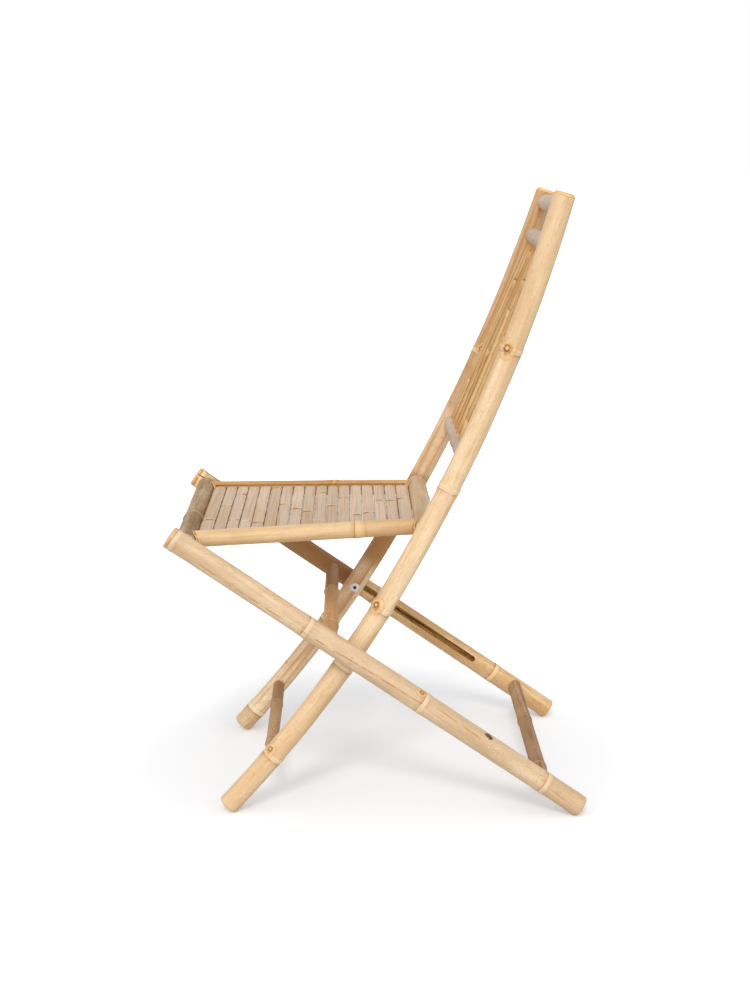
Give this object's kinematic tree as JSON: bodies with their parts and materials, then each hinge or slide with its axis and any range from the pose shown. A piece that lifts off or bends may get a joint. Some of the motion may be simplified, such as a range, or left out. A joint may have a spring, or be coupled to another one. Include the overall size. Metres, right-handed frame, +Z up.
{
  "type": "bamboo folding chair",
  "caption": "Folding side chair of bamboo poles: crossed legs and posts, slatted seat, high slatted back; the seat drops and the back folds flat over it.",
  "frame": {"origin": "on the floor, under the middle of the open chair's box", "axes": "+Z up, -Y towards the front of the seat, +X to the sitter's left"},
  "size_m": [0.4518, 0.599, 0.8934],
  "materials": {
    "pole": "pale round bamboo, satin, with node rings, branch scars and fine fibres",
    "cross_rail": "weathered pinkish grey bamboo, matt",
    "stretcher": "darker brown bamboo, satin",
    "slat": "split bamboo, planed, matt, with node marks",
    "steel": "zinc plated steel",
    "nylon": "off-white plastic washer"
  },
  "bodies": {
    "leg_frame": {"left_leg": "pole", "right_leg": "pole", "upper_stretcher": "stretcher", "rear_stretcher": "stretcher"},
    "seat": {"front_rail": "cross_rail", "rear_rail": "cross_rail", "left_side_rail": "pole", "right_side_rail": "pole", "left_front_pin": "steel", "right_front_pin": "steel", "left_rear_pin": "steel", "right_rear_pin": "steel", "seat_slat_01": "slat", "seat_slat_02": "slat", "seat_slat_03": "slat", "seat_slat_04": "slat", "seat_slat_05": "slat", "seat_slat_06": "slat", "seat_slat_07": "slat", "seat_slat_08": "slat", "seat_slat_09": "slat", "seat_slat_10": "slat", "seat_slat_11": "slat", "seat_slat_12": "slat", "seat_slat_13": "slat", "seat_slat_14": "slat", "seat_slat_15": "slat", "seat_slat_16": "slat", "seat_slat_17": "slat"},
    "back_frame": {"left_post": "pole", "right_post": "pole", "front_stretcher": "stretcher", "lower_back_rail": "cross_rail", "second_rail": "cross_rail", "top_rail": "cross_rail", "back_slat_1": "slat", "back_slat_2": "slat", "back_slat_3": "slat", "back_slat_4": "slat", "back_slat_5": "slat", "back_slat_6": "slat", "back_slat_7": "slat", "left_pivot_bolt": "steel", "right_pivot_bolt": "steel", "left_spacer_washer": "nylon", "right_spacer_washer": "nylon"},
    "slot_nuts": {"left_slot_nut": "steel", "right_slot_nut": "steel"}
  },
  "joints": [
    {"name": "seat_hinge", "type": "hinge", "parent": "leg_frame", "child": "seat", "pos_m": [0, -0.2708, 0.41164], "axis": [-1, 0, 0], "range_deg": [0, 27.04]},
    {"name": "back_hinge", "type": "hinge", "parent": "seat", "child": "back_frame", "pos_m": [0, 0.07015, 0.41714], "axis": [1, 0, 0], "range_deg": [0, 97.64]},
    {"name": "slot_slide", "type": "slide", "parent": "leg_frame", "child": "slot_nuts", "axis": [0, 0.8144, -0.5802], "range_m": [0, 0.2389]}
  ],
  "couplings": [
    {"joint": "seat_hinge", "follows": "back_hinge", "ratio": 0.27681},
    {"joint": "slot_slide", "follows": "back_hinge", "m_per_rad": 0.14017}
  ]
}
